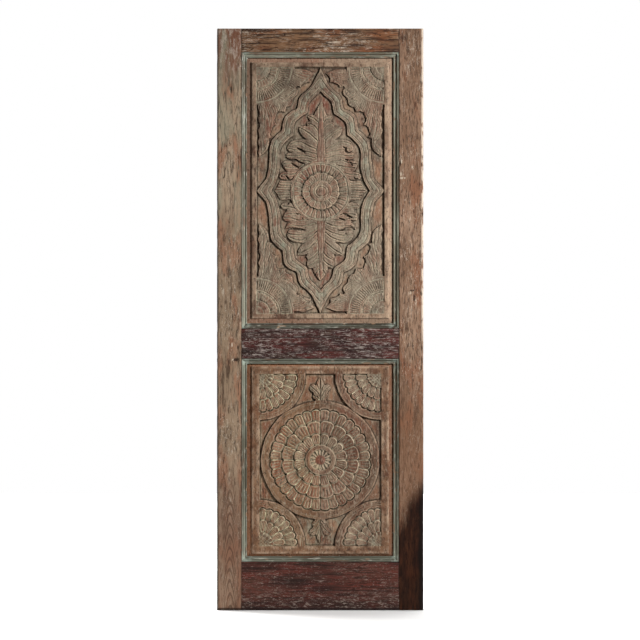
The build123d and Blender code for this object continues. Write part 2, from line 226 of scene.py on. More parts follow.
UPPER_VEINS = [[(8, 250), (22, 262), (42, 272)], [(9, 222), (24, 238), (46, 244)],
    [(10, 180), (36, 205), (60, 222), (78, 230)], [(12, 150), (46, 166), (78, 178), (112, 170)],
    [(14, 134), (60, 146), (96, 150), (116, 154)], [(20, 118), (64, 130), (104, 126), (125, 128)],
    [(36, 104), (76, 110), (104, 100), (134, 98)], [(60, 92), (96, 84), (126, 84)],
    [(84, 66), (108, 60), (140, 58)]]
LOWER_VEINS = [[(6, 290), (14, 300), (18, 308)], [(8, 250), (24, 268), (44, 280)],
    [(8, 222), (26, 244), (48, 258)], [(9, 180), (36, 206), (60, 222), (80, 233)],
    [(12, 150), (46, 174), (82, 184), (112, 174)], [(14, 140), (60, 160), (96, 166), (118, 160)],
    [(20, 120), (66, 132), (104, 130), (127, 138)], [(36, 104), (76, 110), (104, 104), (133, 102)],
    [(60, 92), (96, 86), (130, 92)], [(86, 68), (112, 62), (140, 58)]]
PALMETTE = [(171, 0), (163, 8), (157, 17), (152, 27), (146, 36), (113, 36), (100, 46), (96, 30),
    (104, 12), (106, 0)]
PALMETTE_VEINS = [[(100, 0), (168, 0)], [(100, 9), (158, 9)], [(100, 18), (152, 18)],
    [(98, 27), (148, 28)]]
# short deep cuts in the leaves
CUTS = [[(-79, 233), (-81, 222), (-76, 207), (-67, 196), (-56, 189)],
    [(-85, 158), (-72, 150), (-59, 143), (-56, 138)],
    [(-127, 129), (-124, 119), (-109, 112), (-98, 111), (-91, 113), (-76, 104), (-59, 97)],
    [(-105, 99), (-79, 82)], [(-143, 55), (-141, 52)], [(-125, 53), (-111, 36)],
    [(86, 160), (95, 154), (95, 145), (101, 139), (112, 139)], [(92, 114), (101, 110)],
    [(110, 104), (119, 92)], [(123, 49), (127, 43), (137, 44)],
    [(-146, -43), (-124, -39), (-111, -37), (-118, -52)], [(-88, -86), (-82, -89)],
    [(-66, -101), (-64, -104)], [(-105, -139), (-91, -143), (-72, -145), (-57, -145)],
    [(114, -37), (123, -43), (143, -46)], [(86, -85), (101, -93), (117, -100)],
    [(71, -102), (93, -110)], [(114, -110), (123, -114), (130, -113)],
    [(64, -146), (82, -146), (101, -138), (112, -137), (125, -142)], [(95, -156), (95, -160)],
    [(57, -191), (64, -194), (79, -192)], [(51, -234), (60, -239), (71, -238), (81, -242)],
    [(27, -282), (33, -287), (42, -287)], [(-157, 288), (-135, 287)], [(-116, 305), (-110, 306)]]
SPANDREL = [(20, 432), (35, 415), (36, 399), (49, 397), (68, 388), (71, 379), (86, 384), (90, 377),
    (82, 366), (86, 353), (101, 338), (104, 322), (112, 311), (125, 307), (130, 288), (145, 291),
    (160, 287), (165, 270), (169, 259), (160, 242), (174, 235), (182, 217), (184, 204), (176, 196),
    (191, 191), (190, 171), (196, 152), (207, 138), (226, 124), (229, 146), (224, 160), (229, 182),
    (223, 198), (228, 222), (222, 240), (228, 264), (223, 282), (229, 302), (230, 330), (205, 345),
    (160, 375), (125, 415), (105, 446), (60, 447)]
SPANDREL_VEINS = [[(128, 330), (96, 352), (88, 380)], [(118, 350), (70, 392), (24, 430)],
    [(150, 320), (146, 304), (158, 290)], [(180, 300), (172, 276), (167, 262)],
    [(200, 300), (188, 250), (184, 206)], [(208, 300), (206, 230), (196, 180), (220, 130)],
    [(140, 330), (118, 330), (106, 326)]]
BUD = [(0, 309), (8, 296), (13, 284), (17, 274), (24, 278), (33, 276), (39, 268), (38, 258), (30, 252),
    (25, 244), (29, 236), (27, 228), (20, 222), (20, 212), (0, 210)]
BUD_VEINS = [[(0, 214), (0, 304)], [(3, 232), (14, 252), (34, 270)], [(3, 250), (8, 266), (13, 280)],
    [(4, 222), (14, 232), (24, 236)]]


# Carving
def no_marks(shape):
    """Empty masks for the materials: limewashed edges, petal faces, and a darker tone that is painted
    shade in slots and at the scales' roots.
    """
    return dict(lime=np.zeros(shape), petal=np.zeros(shape), slot=np.zeros(shape))


def set_where(marks, where, **values):
    for key, value in values.items():
        marks[key] = np.where(where, value, marks[key])


def ring_cuts(h, where, r, wide, rings):
    """Cut lines at these radii, each with its depth."""
    for ring, deep in rings:
        h = np.where(where, h - deep * groove(r, ring, wide), h)
    return h


def petal_rows(r, phi, rows, h, marks, wash=1.0, relief=1.0, rounds=(1.0, 1.0, 1.0), ditch_deep=4.4):
    """Rows of sloping scales round a centre, phi in turns; their marks are set as well.

    A row is its inner radius, outer radius, count of scales and strokes on each. wash is the share of
    limewash, relief stretches the depths, rounds says how far each row's ends are rounded, and ditch_deep
    is the depth of the groove round the first row.
    """
    top, root, rise = 12.8, 7.6, 5.4
    edge_drop, side_drop = 2.2, 0.9
    stroke_deep, stroke_wide = 1.5, 1.6
    ditch_wide = 3.8
    for row, (r0, r1, count, strokes) in enumerate(rows):
        k = phi * count
        lean = (k - np.floor(k)) - 0.5
        vary = np.random.default_rng(count + int(r1)).random(64)[np.floor(k).astype(int) % 64]
        s = np.abs(lean) * 2.0
        reach = (r1 - r0) * (0.22 + 0.10 * vary) * rounds[row]
        bend = 1.0 - np.sqrt(np.clip(1.0 - 0.99 * s ** 2.2, 0.0, 1.0))
        end = r1 - (0.6 + 2.0 * vary) * rounds[row] - reach * bend
        begin = r0 - reach * 1.1
        t = np.clip((r - begin) / (end - begin), 0.0, 1.0)
        here = (r >= begin) & (r < end)
        width = TURN * r / count
        rim = np.minimum((1.0 - s) * 0.5 * width, end - r)
        scale = root + (rise + 0.6 * vary) * t ** 0.8
        scale = scale - edge_drop * smooth(rim, 2.6, 0.6) - side_drop * s ** 2
        gap = np.abs(lean) * width
        if strokes == 2:
            gap = np.abs(gap - width * 0.16)
        elif strokes == 3:
            gap = np.minimum(gap, np.abs(gap - width * 0.25))
        fade = smooth(t, 0.34, 0.48) * smooth(t, 0.95, 0.80)
        stroke = groove(gap, 0.0, stroke_wide)
        scale -= stroke_deep * stroke * fade
        if row == 0:
            ditch = (r >= end) & (r < end + ditch_wide)
            h = np.where(ditch, top - ditch_deep * relief, h)
            set_where(marks, ditch, lime=0.5 * wash)
        h = np.where(here, top - relief * (top - scale), h)
        edge = np.maximum(smooth(rim, 3.0, 1.2), 0.35 * stroke * fade)
        # limewash on rims and strokes, petal faces, and painted shade at the roots under the row before
        set_where(marks, here, lime=wash * edge, petal=smooth(rim, 1.0, 3.0),
                  slot=1.7 * smooth(t, 0.30, 0.04))
    return h


def warp(x, z, seed):
    """Places bent a little by two sizes of noise, as a hand would carve them."""
    long, long_by, short, short_by = 47.0, 1.6, 17.0, 0.7
    wx = x + long_by * value_noise(x / long, z / long, seed)
    wx = wx + short_by * value_noise(x / short, z / short, seed + 2)
    wz = z + long_by * value_noise(x / long + 9, z / long, seed + 1)
    wz = wz + short_by * value_noise(x / short + 4, z / short, seed + 3)
    return wx, wz


def rough_floor(x, z, seed):
    return GROUND + 0.4 * value_noise(x / 7.0, z / 16.0, seed, 2)


def lay(body, d, floor, h, soft=0.9):
    """The body laid over h, with walls that rise from the floor at its outline."""
    return np.where(d > -0.5, np.maximum(h, floor + (body - floor) * smooth(d, -0.5, soft)), h)


def lay_leaf(x, z, line, veins, top, pitch, floor, h):
    """A leaf with rounded edges, cut veins and fine strokes beside them."""
    vein_deep, vein_wide, stroke_deep = 2.8, 1.9, 1.3
    d = leaf_depth(x, z, curve(line))
    vein = veins_distance(x, z, veins)
    body = top + 0.6 - rounding(np.clip(d, 0, None), 3.0, 5.0)
    body -= vein_deep * groove(vein, 0.0, vein_wide)
    strokes = (0.5 + 0.5 * np.cos(TURN * vein / pitch)) ** 2
    body -= stroke_deep * strokes * smooth(d, 1.0, 4.0) * smooth(vein, 16, 12)
    return lay(body, d, floor, h)


def upper_height(x, z):
    """Height and marks of the upper panel's ground, with x and z from the panel's middle."""
    leaf_top, palmette_top = 12.6, 12.3
    leaf_pitch, palmette_pitch = 8.2, 30.0
    disc_r, boss_r = 112.0, 40.0
    fan_r, petals_r, heart_r = 137.0, 86.0, 48.0
    teeth = 84.0
    wx, wz = warp(x, z, 3)
    ax, az = np.abs(wx), np.abs(wz)
    floor = rough_floor(x, z, 11)
    h = floor.copy()

    # leaves of the medallion and their midribs
    for side in (-1, 1):
        h = lay_leaf(side * wx, wz, UPPER_LEAF, UPPER_VEINS, leaf_top, leaf_pitch, floor, h)
        h = lay_leaf(side * wx, -wz, LOWER_LEAF, LOWER_VEINS, leaf_top, leaf_pitch, floor, h)
        h = lay_leaf(side * wx, az, PALMETTE, PALMETTE_VEINS, palmette_top, palmette_pitch, floor, h)
    rib_x = wx - 3.0
    rib_half = 5.0 + 11.0 * smooth(az, 330, 120)
    rib_run = (az < 318) & (az > 104)
    on_rib = rib_run & (np.abs(rib_x) < rib_half)
    h = np.where(on_rib, 13.1 - 0.8 * (rib_x / rib_half) ** 2, h)
    for at, deep in ((-1.0, 1.7), (-0.15, 0.9), (0.62, 0.9), (1.0, 1.7)):
        h = np.where(rib_run & (h > 9), h - groove(rib_x, at * rib_half, 1.3) * deep, h)

    # spandrel leaves with strokes that run out from the corner fans
    corner_r = np.hypot(UP["gx"] - ax, UP["gz"] - az)
    corner_a = np.arctan2(UP["gz"] - az, UP["gx"] - ax)
    d = leaf_depth(ax, az, curve(SPANDREL))
    vein = veins_distance(ax, az, SPANDREL_VEINS)
    sway = 1.2 * value_noise(x / 26.0, z / 34.0, 21)
    lines = (0.5 + 0.5 * np.cos(TURN * (corner_a * 24.0 + sway))) ** 3
    body = leaf_top - rounding(np.clip(d, 0, None), 1.4, 3.2) - 1.6 * groove(vein, 0.0, 1.7)
    body -= (1.4 + 0.7 * value_noise(x / 18.0, z / 25.0, 23)) * lines * smooth(d, 1.0, 4.0)
    h = lay(body, d, floor, h)

    # medallion band with its fillets and cut lines
    outer, inner = curve(BAND_OUT), curve(BAND_IN)
    from_outer, _ = line_distance(ax, az, outer)
    from_inner, _ = line_distance(ax, az, inner)
    in_outer = inside(ax, az, np.vstack([outer, [(0, 0)]]))
    in_inner = inside(ax, az, np.vstack([inner, [(0, 0)]]))
    outer_d = np.where(in_outer, from_outer, -from_outer)
    inner_d = np.where(in_inner, -from_inner, from_inner)
    d = np.minimum(outer_d, inner_d)
    wide = np.maximum(outer_d + inner_d, 1e-6)
    u = outer_d / wide
    body = 13.2 - rounding(np.clip(d, 0, None), 1.2, 2.0)
    for at, deep in ((0.27, 2.8), (0.72, 2.4), (0.13, 1.0), (0.86, 1.3), (0.5, 0.3)):
        body -= deep * np.exp(-((u - at) * wide / 1.4) ** 2)
    h = lay(body, d, floor, h * (d < 0), 0.8)
    green = np.where((d > 0) & (np.abs(u - 0.5) < 0.24), 1.0, 0.0) + 0.35 * (d > 0)
    stain = in_inner * smooth(az, 190, 260) * (h < SUNK)
    green += 0.45 * in_inner * smooth(from_inner, 45, 8)
    pocket = 1.0 - 0.75 * in_inner

    # short deep cuts
    h = np.minimum(h, GROUND + (FIELD - GROUND) * smooth(pockets_distance(wx, wz, CUTS), 0.0, 1.8))

    # rosette, a little low and right of the middle
    rose_x, rose_z = wx - 2.0, wz + 3.5
    r = np.hypot(rose_x, rose_z)
    phi = np.arctan2(rose_z, rose_x) / TURN
    disc = r < disc_r
    h = np.where(disc, 13.5 - rounding(disc_r - r, 1.2, 2.0), h)
    h = ring_cuts(h, disc, r, 1.4, ((108.0, 1.5), (102.5, 1.5)))
    marks = no_marks(x.shape)
    marks["lime"] = 0.5 * disc * groove(r, 105.5, 1.6)
    h = petal_rows(r, phi, [(69, 101, 32, 1), (39, 70, 16, 2)], h, marks, 0.45, 0.95, (0.2, 1.0), 1.4)
    boss = r < boss_r
    h = np.where(boss, 13.3 - rounding(boss_r - r, 3.2, 2.4), h)
    tick = (0.5 + 0.5 * np.cos(phi * TURN * 30)) ** 2
    h = np.where((r < 36) & (r > 27), h - 1.4 * tick, h)
    h = ring_cuts(h, boss, r, 1.8, ((26.0, 2.2), (18.0, 2.4)))
    set_where(marks, boss, lime=0.55 * groove(r, 22.0, 2.0), petal=0.6, slot=0.0)

    # corner fans: a comb between rings, then faint petals
    fan = corner_r < fan_r
    turn = corner_a / TURN
    h = np.where(fan, 13.4 - rounding(fan_r - corner_r, 1.3, 2.0), h)
    k = turn * teeth + 0.5
    from_slot = np.abs((k - np.floor(k)) - 0.5) * 2 * math.pi * corner_r / teeth
    slot = smooth(from_slot, 2.8, 1.0) * smooth(corner_r, 88, 92) * smooth(corner_r, 124, 119) * fan
    h = np.where(fan, h - 2.2 * slot, h)
    h = np.where(corner_r < petals_r, 12.6, h)
    petals = no_marks(x.shape)
    h = petal_rows(corner_r, turn, [(54, 78, 36, 1)], h, petals, 0.35, 0.45)
    h = ring_cuts(h, fan, corner_r, 1.5, (
        (131.0, 1.3), (126.0, 1.5), (petals_r, 2.0), (80.0, 1.3), (50.0, 1.8), (44.0, 1.2), (26.0, 1.5)))
    limed = 0.6 * groove(corner_r, 128.5, 1.8) + 0.6 * groove(corner_r, 83.0, 1.8)
    # painted shade in the comb slots and at the petals' roots, and a light darker tone over the whole fan
    dark = np.maximum(np.maximum(slot, 0.22), 0.4 * petals["slot"])
    set_where(marks, fan, lime=np.maximum(limed, petals["lime"]), petal=petals["petal"] * 0.4, slot=dark)
    green = np.where(corner_r < heart_r, 0.7, np.where(fan | disc, 0.25, green))
    stain = np.maximum(stain, 0.42 * (on_rib & ~disc))
    stain = np.maximum(stain, 0.35 * smooth(wx, 30, -20) * disc)
    return h, dict(green=green, stain=stain, pocket=pocket, **marks)


def lower_height(x, z):
    """Height and marks of the lower panel's ground, with x and z from the panel's middle."""
    wheel_r, collar_r, hub_r, knob_r = 218.0, 56.0, 38.0, 18.0
    fan_r, petals_r, heart_r = 168.0, 138.0, 50.0
    hub_slots = 15.0
    wx, wz = warp(x, z, 33)
    ax, az = np.abs(wx), np.abs(wz)
    floor = rough_floor(x, z, 31)
    h = floor.copy()
    for side in (-1, 1):
        h = lay_leaf(side * wx, az, BUD, BUD_VEINS, 13.4, 7.0, floor, h)

    # wheel
    r = np.hypot(wx, wz)
    phi = np.arctan2(wz, wx) / TURN
    disc = r < wheel_r
    h = np.where(disc, 13.9 - rounding(wheel_r - r, 1.2, 1.8), h)
    h = ring_cuts(h, disc, r, 1.2, ((208.0, 0.8),))
    marks = no_marks(x.shape)
    h = petal_rows(r, phi, [(145, 187, 32, 2), (99, 145, 16, 3), (56, 100, 16, 3)], h, marks, 1.0, 1.4)
    middle = r < collar_r
    collar = middle & (r > hub_r)
    limed = 0.55 * groove(r, 54.5, 1.6) + 0.35 * groove(r, 40.0, 1.6)
    set_where(marks, middle, lime=limed, petal=0.6, slot=0.6 * collar)
    h = np.where(collar, 13.4 - 2.0 * ((r - 47.0) / 9.0) ** 2, h)
    h = ring_cuts(h, collar, r, 1.1, ((50.5, 1.0),))
    k = phi * hub_slots
    s = np.abs((k - np.floor(k)) - 0.5) * 2.0
    hub = r <= hub_r
    h = np.where(hub, 8.4 + 3.2 * smooth(s, 0.40, 0.8) - 0.8 * smooth(r, 30, 38), h)
    set_where(marks, hub & (r > 19), lime=0.6 * smooth(s, 0.5, 0.8))
    h = np.where(r < knob_r, 12.4 - 2.0 * (r / knob_r) ** 2, h)

    # corner fans
    corner_r = np.hypot(LO["gx"] - ax, LO["gz"] - az)
    turn = np.arctan2(LO["gz"] - az, LO["gx"] - ax) / TURN
    fan = corner_r < fan_r
    h = np.where(fan, 13.9 - rounding(fan_r - corner_r, 1.2, 1.8), h)
    h = ring_cuts(h, fan, corner_r, 1.2, ((160.0, 0.9), (152.0, 0.9)))
    h = np.where(corner_r < petals_r, 11.0, h)
    h = petal_rows(corner_r, turn, [(94, 139, 32, 3), (50, 95, 20, 3)], h, marks, 1.0, 1.3)
    heart = corner_r < heart_r
    hatch = np.maximum(np.cos((ax - az) * 0.55), np.cos((ax + az) * 0.55))
    hatched = 12.6 - rounding(heart_r - corner_r, 1.2, 2.5) - 1.1 * smooth(hatch, 0.75, 1.0)
    h = np.where(heart, hatched, h)
    green = np.where(heart, 0.8, np.where(corner_r < 139, 0.25, np.where(h < SUNK, 0.15, 0.05)))
    green = np.where((h < SUNK) & (wz < -215) & (ax < 110), 0.9, green)
    green = np.where((h > SUNK) & (ax < 45) & (r > 219), 0.6, green)
    stain = np.maximum((h < SUNK) * 0.2, 0.8 * (r < 17))
    return h, dict(green=green, stain=stain, pocket=np.ones(x.shape), **marks)


def panel_height(p, x, z, carve):
    """Height of the whole panel face: tongue, bevel, border and sunk carving."""
    lip_wide = 2.0
    ax, az = np.abs(x), np.abs(z)
    out = np.minimum(p["gx"] - ax, p["gz"] - az)
    h, marks = carve(x, z)
    border = FIELD - rounding(np.clip(-out, 0, None), 0.8, 1.5) + 0.15 * value_noise(x / 5.0, z / 60.0, 51)
    h = np.where(out < 0, border, h)
    bx = (p["sx"] - ax) / (p["sx"] - p["fx"])
    bz = (p["sz"] - az) / (p["sz"] - p["fz"])
    b = np.minimum(bx, bz)
    bevel = TONGUE + (BEVEL_TOP - TONGUE) * np.clip(b, 0, 1)
    lip = np.minimum(p["fx"] - ax, p["fz"] - az)
    h = np.where(lip < 0, bevel, np.where(lip < lip_wide, np.minimum(h, FIELD - 1.2 + 0.6 * lip), h))
    h = np.where(b <= 0, TONGUE, h)
    h = np.where(b > 0, h - 0.9 * groove(np.abs(x - p["seam"]), 0.0, 1.3), h)
    return h, marks, out, lip


# Meshes
def shade(mesh):
    mesh.polygons.foreach_set("use_smooth", np.ones(len(mesh.polygons), bool))
    mesh.set_sharp_from_angle(angle=math.radians(40))


def set_marks(mesh, marks):
    """Masks for the materials, one number for each vertex."""
    for key, values in marks.items():
        spread = np.asarray(values, np.float32).reshape(-1)
        mesh.attributes.new(key, "FLOAT", "POINT").data.foreach_set("value", spread)


def add_object(mesh):
    obj = bpy.data.objects.new(mesh.name, mesh)
    bpy.context.scene.collection.objects.link(obj)
    return obj


def grid_lines(lo, hi, sight, field, ground, step):
    """Grid lines between the board's edges: fine over the ground, coarser outside it."""
    marks = [s * m for m in (sight, field, field - 0.5, ground) for s in (-1, 1)]
    stops = sorted({lo, hi, *[m for m in marks if lo < m < hi]})
    out = [stops[0]]
    for a, b in zip(stops[:-1], stops[1:]):
        mid = abs(0.5 * (a + b))
        pitch = step if mid < ground else 3.2 if mid < sight else 40.0
        n = max(1, round((b - a) / pitch))
        out += [a + (b - a) * (i + 1) / n for i in range(n)]
    return np.array(out)


def board(p, side, carve):
    """One board of a panel: the carved face as a grid, four edges and a flat back."""
    name = f'{p["name"]}_{side}_board'
    lo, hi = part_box(name)
    x0, x1, z0, z1 = lo[0] / MM, hi[0] / MM, lo[2] / MM - p["z"], hi[2] / MM - p["z"]
    xs = grid_lines(x0, x1, p["sx"], p["fx"], p["gx"], p["step"])
    zs = grid_lines(z0, z1, p["sz"], p["fz"], p["gz"], p["step"])
    X, Z = np.meshgrid(xs, zs, indexing="ij")
    H, marks, out, lip = panel_height(p, X, Z, carve)
    marks = {key: values * (out > 0) for key, values in marks.items()}
    face = np.clip(H, GROUND, FIELD)
    near, far = blur(face, 2) - face, blur(face, 4) - face
    sunk = smooth(face, 8.2, 7.0)
    marks["cavity"] = np.clip(np.maximum(near, 0.8 * far) / 0.9, 0, 1) * (out > -4) * (1.0 - sunk * 0.6)
    marks["ridge"] = np.clip(-near / 0.9, 0, 1)
    marks["ground"] = sunk * (out > 0)
    marks["plain"] = smooth(out, 0.5, -0.5) * (lip > 0)
    marks["bevel"] = smooth(lip, 0.5, -0.5)
    # dirt and painted shade in the sunk ground at the foot of the walls
    marks["grime"] = np.clip((blur(face, 3) - face - 0.7) / 1.4, 0, 1) * marks["ground"]
    nx, nz = X.shape
    front = np.stack([X * MM, -H * MM, (Z + p["z"]) * MM], -1).reshape(-1, 3)
    index = np.arange(nx * nz).reshape(nx, nz)
    quads = np.stack([index[:-1, :-1], index[1:, :-1], index[1:, 1:], index[:-1, 1:]], -1).reshape(-1, 4)
    corners = np.array([(x0, z0), (x1, z0), (x1, z1), (x0, z1)])
    back = np.stack([corners[:, 0] * MM, np.full(4, -BACK * MM), (corners[:, 1] + p["z"]) * MM], -1)
    c = [nx * nz + i for i in range(4)]
    faces = quads.tolist()
    faces.append([c[0], c[3], c[2], c[1]])
    faces.append(index[::-1, 0].tolist() + [c[0], c[1]])
    faces.append(index[-1, ::-1].tolist() + [c[1], c[2]])
    faces.append(index[:, -1].tolist() + [c[2], c[3]])
    faces.append(index[0, :].tolist() + [c[3], c[0]])
    mesh = bpy.data.meshes.new(name + "_carved")
    mesh.from_pydata(np.vstack([front, back]).tolist(), [], faces)
    mesh.update()
    set_marks(mesh, {key: np.append(values, np.zeros(4)) for key, values in marks.items()})
    shade(mesh)
    return add_object(mesh)


boards = []
for p, carve in ((UP, upper_height), (LO, lower_height)):
    for side in ("left", "right"):
        obj = board(p, side, carve)
        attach(obj, "root")
        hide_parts(f'{p["name"]}_{side}_board')
        boards.append(obj)


# Mouldings: the section in shares of its width and height, from the frame's edge to the panel
SECTION_WIDE, SECTION_HIGH = 20.0, 15.0
SECTION = [(0, 0), (0, .88), (.05, .94), (.11, .98), (.17, 1), (.23, .98), (.29, .94), (.34, .88),
           (.36, .80), (.38, .72), (.45, .62), (.52, .54), (.62, .495), (.72, .48), (.76, .58),
           (.82, .59), (.88, .59), (.94, .58), (1, .46), (1, 0)]


def moulding(panel, name, seed):
    """A mitred strip with the section's bead, cove and lip, worn a little along its length."""
    cell = 7.0
    node = f"{panel}_moulding_{name}"
    lo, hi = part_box(node)
    upright = name in ("left", "right")
    c0, c1 = (lo[2], hi[2]) if upright else (lo[0], hi[0])
    length, middle = (c1 - c0) / MM, 0.5 * (c0 + c1) / MM
    seat = -hi[1] / MM
    count = max(2, round(length / cell))
    v = np.array([p[0] for p in SECTION]) * SECTION_WIDE
    rise = np.array([p[1] for p in SECTION]) * SECTION_HIGH
    t = np.linspace(-1, 1, count + 1)
    S = (length / 2 - v[None, :]) * t[:, None]
    V = np.broadcast_to(v, S.shape)
    rubbed = 0.35 * (0.5 + 0.5 * value_noise(S / 40.0, V / 6.0, seed, 2))
    dented = 1.6 * smooth(value_noise(S / 22.0 + 7, V / 9.0, seed + 9), 0.62, 0.9)
    worn = rubbed + dented
    top = (rise > 1.0)[None, :] & (V > 0.01) & (np.abs(V - SECTION_WIDE) > 0.01)
    out = -(seat + (np.broadcast_to(rise, S.shape) - worn * top))
    if upright:
        across = lo[0] / MM + V if name == "left" else hi[0] / MM - V
        pts = np.stack([across, out, S + middle], -1)
    else:
        across = hi[2] / MM - V if name == "top" else lo[2] / MM + V
        pts = np.stack([S + middle, out, across], -1)
    n, m = S.shape
    index = np.arange(n * m).reshape(n, m)
    after = np.roll(index, -1, axis=1)
    quads = np.stack([index[:-1], after[:-1], after[1:], index[1:]], -1).reshape(-1, 4).tolist()
    faces = quads + [index[0, ::-1].tolist(), index[-1].tolist()]
    if name in ("right", "bottom"):
        faces = [f[::-1] for f in faces]
    mesh = bpy.data.meshes.new(node + "_worn")
    mesh.from_pydata((pts.reshape(-1, 3) * MM).tolist(), [], faces)
    mesh.update()
    mitre = smooth(length / 2 - np.abs(S), 46, 16)
    set_marks(mesh, dict(across=np.broadcast_to(v / SECTION_WIDE, S.shape), worn=worn, mitre=mitre))
    shade(mesh)
    obj = add_object(mesh)
    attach(obj, "root")
    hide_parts(node)
    return obj


strips = {}
for i, panel in enumerate(("upper", "lower")):
    for k, name in enumerate(("left", "right", "top", "bottom")):
        strips[panel, name] = moulding(panel, name, 100 + 20 * i + 3 * k)


# Stiles and rails
# Scars on the carved face, mm: place across, place up, half width, half height and depth; a depth below
# zero is a filled chip
SCARS = {
    "left_stile": [
        (-329, 1915, 4, 13, 2.6), (-337, 1945, 3, 24, 1.4), (-310.5, 921, 11, 7, 3.2),
        (-321, 919, 5, 6, -0.8), (-326, 975, 4, 7, -0.6), (-303, 966, 3, 8, 1.4)],
    "right_stile": [
        (293, 1645, 4, 12, 3.0), (299, 1652, 4, 9, -0.7), (304, 1590, 12, 4, -0.8),
        (297, 1606, 4, 9, -0.7), (330, 1167, 6, 6, -0.8), (345, 1148, 5, 13, 1.6),
        (350, 1140, 3, 12, -0.8), (338, 1176, 9, 4, 1.5), (371, 1165, 5, 8, 2.2),
        (376, 1222, 4, 6, 2.4), (376, 1457, 4, 7, 2.2), (340, 1630, 4, 10, -0.6)],
}
CELL_LONG, CELL_WIDE = 0.014, 0.007
LEAST_CELL = 0.0004
# beyond both of these, across and out, a vertex lies by an outer arris of the leaf
ARRIS_X, ARRIS_Y = 0.3745, 0.0165


def cut_lines(name, lo, hi, long_axis, short_axis):
    """Planes that cut a member fine: an even grid, then closer lines by its edges, joints and scars."""
    start, stop = (lo[2], hi[2]) if long_axis == 2 else (-SHOULDER, SHOULDER)
    count = round((stop - start) / CELL_LONG)
    lines = [(long_axis, start + (stop - start) * i / count) for i in range(1, count)]
    for d in (0.0008, 0.003):
        lines += [(long_axis, start + d), (long_axis, stop - d)]
    wide = hi[short_axis] - lo[short_axis]
    rows = round(wide / CELL_WIDE)
    lines += [(short_axis, lo[short_axis] + wide * i / rows) for i in range(1, rows)]
    for d in (0.0015, 0.0035):
        lines += [(short_axis, lo[short_axis] + d), (short_axis, hi[short_axis] - d)]
    for x, z, half_x, half_z, _ in SCARS.get(name, ()):
        for share in (-1.3, -0.8, -0.3, 0.3, 0.8, 1.3):
            lines += [(0, min((x + share * half_x) * MM, hi[0] - 0.0005)), (2, (z + share * half_z) * MM)]
    return sorted(lines)


def member(name, seed):
    """The member's own solid, cut fine and worn on its faces: lifted grain, nicks and soft joint edges."""
    lo, hi = (np.array(v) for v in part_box(name))
    upright = hi[2] - lo[2] > hi[0] - lo[0]
    long_axis, short_axis = (2, 0) if upright else (0, 2)
    work = bmesh.new()
    work.from_mesh(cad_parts[name].data)
    last = (-1, 0.0)
    for axis, at in cut_lines(name, lo, hi, long_axis, short_axis):
        if axis == last[0] and at - last[1] < LEAST_CELL:
            continue
        last = (axis, at)
        where, way = [0.0, 0.0, 0.0], [0.0, 0.0, 0.0]
        where[axis], way[axis] = at, 1.0
        bmesh.ops.bisect_plane(work, geom=work.verts[:] + work.edges[:] + work.faces[:], dist=1e-6,
                               plane_co=where, plane_no=way)
    bmesh.ops.remove_doubles(work, verts=work.verts[:], dist=2e-5)
    mesh = bpy.data.meshes.new(name + "_worn")
    work.to_mesh(mesh)
    work.free()
    co = np.empty(len(mesh.vertices) * 3, np.float32)
    mesh.vertices.foreach_get("co", co)
    co = co.reshape(-1, 3).astype(float)
    x_co, y_co, z_co = co.T
    s, c = co[:, long_axis] / MM, co[:, short_axis] / MM
    grain = 0.5 + 0.5 * value_noise(c / 9.0, s / 90.0, seed, 2)
    nick = smooth(value_noise(c / 13.0, s / 30.0, seed + 5), 0.72, 0.95)
    joint = np.abs(np.abs(x_co) - SHOULDER) / MM
    inset = 0.5 * grain + 0.9 * nick + 0.9 * smooth(joint, 2.0, 0.0)
    front = y_co < 0.0
    hollow, filled = np.zeros(len(co)), np.zeros(len(co))
    for x, z, half_x, half_z, deep in SCARS.get(name, ()):
        off = np.hypot((x_co / MM - x) / half_x, (z_co / MM - z) / half_z)
        inset = inset + front * max(deep, 0.0) * smooth(off, 1.25, 0.5)
        mark = hollow if deep > 0 else filled
        np.maximum(mark, front * smooth(off, 1.25, 0.6), out=mark)
    face = np.abs(np.abs(y_co) - FACE) < 1e-5
    y_co -= np.sign(y_co) * face * np.clip(inset, 0.0, 4.0) * MM
    outer = (np.abs(x_co) > ARRIS_X) & (np.abs(y_co) > ARRIS_Y)
    chip = 1.8 * smooth(value_noise(s / 17.0, c * 0 + 3.0, seed + 8, 2), 0.15, 0.8)
    x_co -= np.sign(x_co) * outer * chip * MM
    mesh.vertices.foreach_set("co", co.astype(np.float32).reshape(-1))
    mesh.update()
    set_marks(mesh, dict(hollow=hollow, chip=filled))
    shade(mesh)
    mesh.materials.clear()
    obj = add_object(mesh)
    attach(obj, "root")
    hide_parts(name)
    return obj


members = {name: member(name, 300 + 31 * i) for i, (name, slot) in enumerate((
    ("left_stile", "stile_wood"), ("right_stile", "stile_wood"), ("top_rail", "rail_wood"),
    ("lock_rail", "rail_wood"), ("bottom_rail", "rail_wood")))}


# Materials
BUMP_STRENGTH, SHEEN = 0.8, 0.12
PANEL_BUMP, FRAME_BUMP, MOULDING_BUMP = 0.0009, 0.0008, 0.0004


def rgb(r, g, b):
    """Linear colour from display values of 0 to 255."""
    out = [(c / 255 / 12.92) if c <= 10 else ((c / 255 + 0.055) / 1.055) ** 2.4 for c in (r, g, b)]
    return (*out, 1.0)


